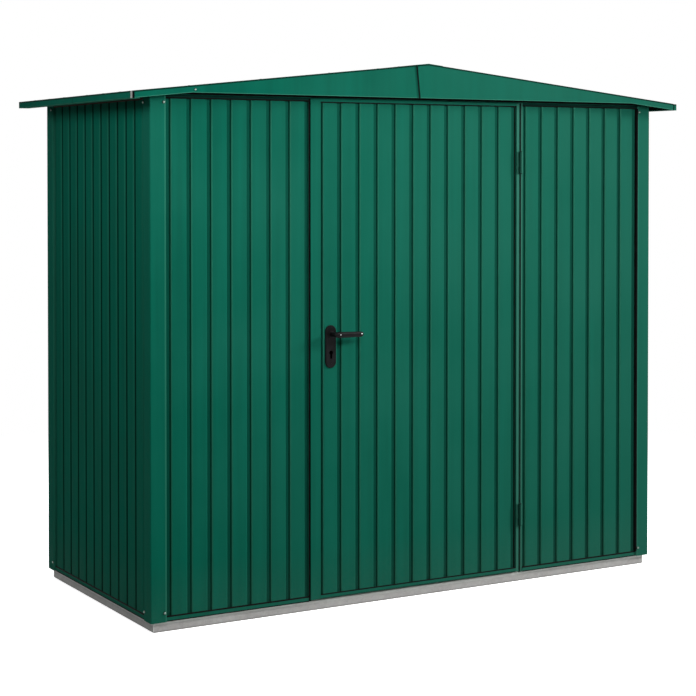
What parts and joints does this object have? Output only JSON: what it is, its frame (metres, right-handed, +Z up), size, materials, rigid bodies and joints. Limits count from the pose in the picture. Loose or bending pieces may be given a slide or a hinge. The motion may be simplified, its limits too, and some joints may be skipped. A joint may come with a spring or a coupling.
{
  "type": "metal storage shed",
  "caption": "Ribbed green metal garden shed with a low gabled roof, a side-hung door with lever handle and a galvanised base frame.",
  "frame": {"origin": "on the ground, at the centre of the shed's footprint", "axes": "+X to the right along the front, -Y out of the front with its door, +Z up"},
  "size_m": [2.584, 1.2, 2.1621],
  "materials": {
    "green_steel": "satin moss-green coil coating on ribbed and folded steel sheet",
    "galvanised_steel": "dull light grey galvanised steel with a fine spangle",
    "black_handle": "satin black"
  },
  "bodies": {
    "shed": {"base_front": "galvanised_steel", "base_back": "galvanised_steel", "base_left": "galvanised_steel", "base_right": "galvanised_steel", "post_front_left": "green_steel", "post_front_right": "green_steel", "post_back_right": "green_steel", "post_back_left": "green_steel", "front_bottom_rails": "green_steel", "front_top_rails": "green_steel", "back_bottom_rail": "green_steel", "back_top_rail": "green_steel", "side_bottom_rails": "green_steel", "side_top_rails": "green_steel", "front_wall_left": "green_steel", "front_wall_right": "green_steel", "left_wall": "green_steel", "right_wall": "green_steel", "back_wall_1": "green_steel", "back_wall_2": "green_steel", "back_wall_3": "green_steel", "door_jambs": "green_steel", "door_header": "green_steel", "frame_hinges": "green_steel", "gable_panel_front": "green_steel", "gable_panel_back": "green_steel", "ridge_beam": "green_steel", "roof_right": "green_steel", "roof_left": "green_steel", "ridge_cap": "green_steel", "eave_trims": "green_steel", "front_verge_right": "green_steel", "front_verge_left": "green_steel", "back_verge_left": "green_steel", "back_verge_right": "green_steel"},
    "door": {"door_panel": "green_steel", "door_stile_latch": "green_steel", "door_stile_hinge": "green_steel", "door_top_rail": "green_steel", "door_bottom_rail": "green_steel", "door_hinges": "green_steel", "lock_case": "galvanised_steel", "door_plates": "black_handle"},
    "levers": {"outer_lever": "black_handle", "inner_lever": "black_handle"}
  },
  "joints": [
    {"name": "door_hinge", "type": "hinge", "parent": "shed", "child": "door", "pos_m": [0.4905, -0.551, 1.03], "axis": [0, 0, 1], "range_deg": [0, 110]},
    {"name": "lever_turn", "type": "hinge", "parent": "door", "child": "levers", "pos_m": [-0.42, -0.54, 1.089], "axis": [0, 1, 0], "range_deg": [0, 40], "stiffness_Nm_per_rad": 1, "springref_deg": -34.38}
  ]
}
